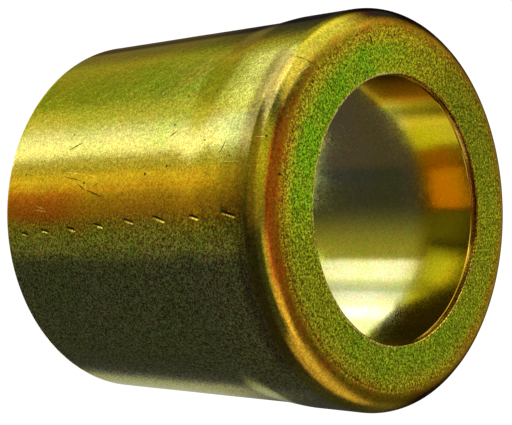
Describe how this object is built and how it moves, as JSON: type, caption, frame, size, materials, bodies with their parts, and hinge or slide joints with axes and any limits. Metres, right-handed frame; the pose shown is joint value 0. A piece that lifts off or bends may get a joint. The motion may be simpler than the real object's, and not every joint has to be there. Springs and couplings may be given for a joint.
{
  "type": "sleeve bushing",
  "caption": "Thin-walled drawn sleeve bushing: a straight open barrel, a slightly larger collar with a rounded shoulder, and a flat inward flange around a round hole.",
  "frame": {"origin": "centre of the open end, on the plane the sleeve stands on", "axes": "+Z along the sleeve's axis, from the open end to the flange face; -Y is the side with the row of tool nicks"},
  "size_m": [0.0406, 0.0406, 0.038],
  "materials": {
    "bronze": "satin metal, iridescent olive gold, brighter inside"
  },
  "bodies": {
    "root": {"sleeve_shell": "bronze"}
  },
  "joints": []
}
